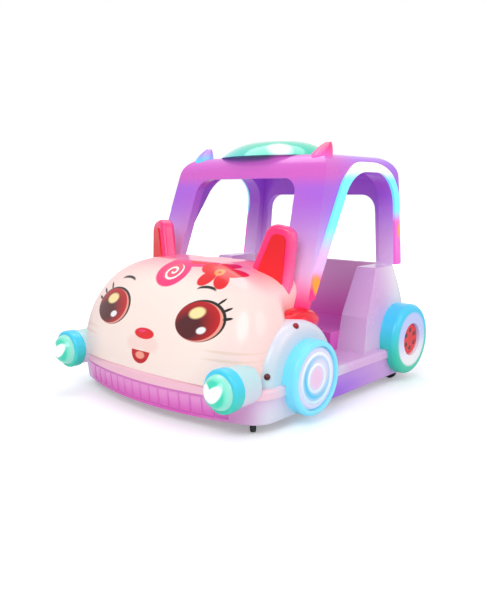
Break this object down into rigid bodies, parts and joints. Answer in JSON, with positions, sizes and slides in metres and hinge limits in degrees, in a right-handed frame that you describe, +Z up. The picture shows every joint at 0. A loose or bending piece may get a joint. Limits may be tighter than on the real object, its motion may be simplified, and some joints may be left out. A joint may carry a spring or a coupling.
{
  "type": "children's bumper car",
  "caption": "Battery bumper car for children with a cat-face hood, open cabin, arched canopy, side wheel-shaped lamps and hidden casters.",
  "frame": {"origin": "on the floor under the middle of the car", "axes": "+Z up, the front faces -Y, +X is the left side of the car"},
  "size_m": [1.38, 1.56, 1.27],
  "materials": {
    "battery_plastic": "matte",
    "boot_red": "gloss",
    "canopy_plastic": "gloss",
    "cap_red": "gloss",
    "caster_rubber": "satin",
    "cover_cyan": "gloss",
    "cover_green": "gloss",
    "cover_white": "gloss",
    "dash_plastic": "satin",
    "dome_lens": "gloss",
    "drive_rubber": "matte",
    "ear_plastic": "gloss",
    "ear_red": "gloss",
    "fender_plastic": "gloss",
    "fork_steel": "satin",
    "frame_steel": "satin",
    "hood_plastic": "gloss",
    "lamp_lens": "gloss",
    "lamp_ring_lens": "gloss",
    "marker_red": "gloss",
    "motor_metal": "satin",
    "pod_plastic": "gloss",
    "roof_ear_red": "gloss",
    "roof_ear_violet": "gloss",
    "seat_plastic": "satin",
    "skirt_plastic": "gloss",
    "strip_lens": "gloss",
    "tail_plastic": "gloss",
    "tray_plastic": "gloss",
    "wheel_plastic": "satin"
  },
  "bodies": {
    "root": {"base_tray": "tray_plastic", "battery_block": "battery_plastic", "bumper_skirt": "skirt_plastic", "canopy_shell": "canopy_plastic", "chassis_frame": "frame_steel", "dash_panel": "dash_plastic", "drive_motors": "motor_metal", "front_cover_discs": "cover_white", "front_fender_left": "fender_plastic", "front_fender_right": "fender_plastic", "front_wheel_cover_left": "cover_cyan", "front_wheel_cover_right": "cover_cyan", "headlamp_lenses": "lamp_lens", "headlamp_pods": "pod_plastic", "headlamp_rings": "lamp_ring_lens", "hood_ear_left": "ear_plastic", "hood_ear_panels": "ear_red", "hood_ear_right": "ear_plastic", "hood_shell": "hood_plastic", "light_strip_left": "strip_lens", "light_strip_right": "strip_lens", "marker_lamps": "marker_red", "pillar_boots": "boot_red", "rear_body": "tail_plastic", "rear_cover_caps": "cap_red", "rear_wheel_cover_left": "cover_green", "rear_wheel_cover_right": "cover_green", "roof_dome": "dome_lens", "roof_ear_left": "roof_ear_violet", "roof_ear_right": "roof_ear_red", "seat_back": "seat_plastic", "seat_bench": "seat_plastic", "steering_column": "dash_plastic", "tail_lamps": "marker_red"},
    "caster_fork_front_left": {"caster_fork_front_left": "fork_steel"},
    "caster_wheel_front_left": {"caster_wheel_front_left": "caster_rubber"},
    "caster_fork_front_right": {"caster_fork_front_right": "fork_steel"},
    "caster_wheel_front_right": {"caster_wheel_front_right": "caster_rubber"},
    "caster_fork_rear_left": {"caster_fork_rear_left": "fork_steel"},
    "caster_wheel_rear_left": {"caster_wheel_rear_left": "caster_rubber"},
    "caster_fork_rear_right": {"caster_fork_rear_right": "fork_steel"},
    "caster_wheel_rear_right": {"caster_wheel_rear_right": "caster_rubber"},
    "drive_wheel_left": {"drive_wheel_left": "drive_rubber"},
    "drive_wheel_right": {"drive_wheel_right": "drive_rubber"},
    "steering_wheel": {"steering_wheel": "wheel_plastic"}
  },
  "joints": [
    {"name": "caster_swivel_front_left", "type": "hinge", "parent": "root", "child": "caster_fork_front_left", "pos_m": [0.515, -0.495, 0.08], "axis": [0, 0, 1], "continuous": true},
    {"name": "caster_roll_front_left", "type": "hinge", "parent": "caster_fork_front_left", "child": "caster_wheel_front_left", "pos_m": [0.53338, -0.51338, 0.038], "axis": [0.7071, 0.7071, 0], "continuous": true},
    {"name": "caster_swivel_front_right", "type": "hinge", "parent": "root", "child": "caster_fork_front_right", "pos_m": [-0.515, -0.495, 0.08], "axis": [0, 0, 1], "continuous": true},
    {"name": "caster_roll_front_right", "type": "hinge", "parent": "caster_fork_front_right", "child": "caster_wheel_front_right", "pos_m": [-0.53338, -0.51338, 0.038], "axis": [0.7071, -0.7071, 0], "continuous": true},
    {"name": "caster_swivel_rear_left", "type": "hinge", "parent": "root", "child": "caster_fork_rear_left", "pos_m": [0.535, 0.6, 0.08], "axis": [0, 0, 1], "continuous": true},
    {"name": "caster_roll_rear_left", "type": "hinge", "parent": "caster_fork_rear_left", "child": "caster_wheel_rear_left", "pos_m": [0.561, 0.6, 0.038], "axis": [0, 1, 0], "continuous": true},
    {"name": "caster_swivel_rear_right", "type": "hinge", "parent": "root", "child": "caster_fork_rear_right", "pos_m": [-0.535, 0.6, 0.08], "axis": [0, 0, 1], "continuous": true},
    {"name": "caster_roll_rear_right", "type": "hinge", "parent": "caster_fork_rear_right", "child": "caster_wheel_rear_right", "pos_m": [-0.561, 0.6, 0.038], "axis": [0, -1, 0], "continuous": true},
    {"name": "drive_roll_left", "type": "hinge", "parent": "root", "child": "drive_wheel_left", "pos_m": [0.355, 0.325, 0.075], "axis": [1, 0, 0], "continuous": true},
    {"name": "drive_roll_right", "type": "hinge", "parent": "root", "child": "drive_wheel_right", "pos_m": [-0.355, 0.325, 0.075], "axis": [1, 0, 0], "continuous": true},
    {"name": "steering_turn", "type": "hinge", "parent": "root", "child": "steering_wheel", "pos_m": [0, 0.085, 0.5], "axis": [0, 0.788, 0.6157], "range_deg": [-120, 120]}
  ]
}
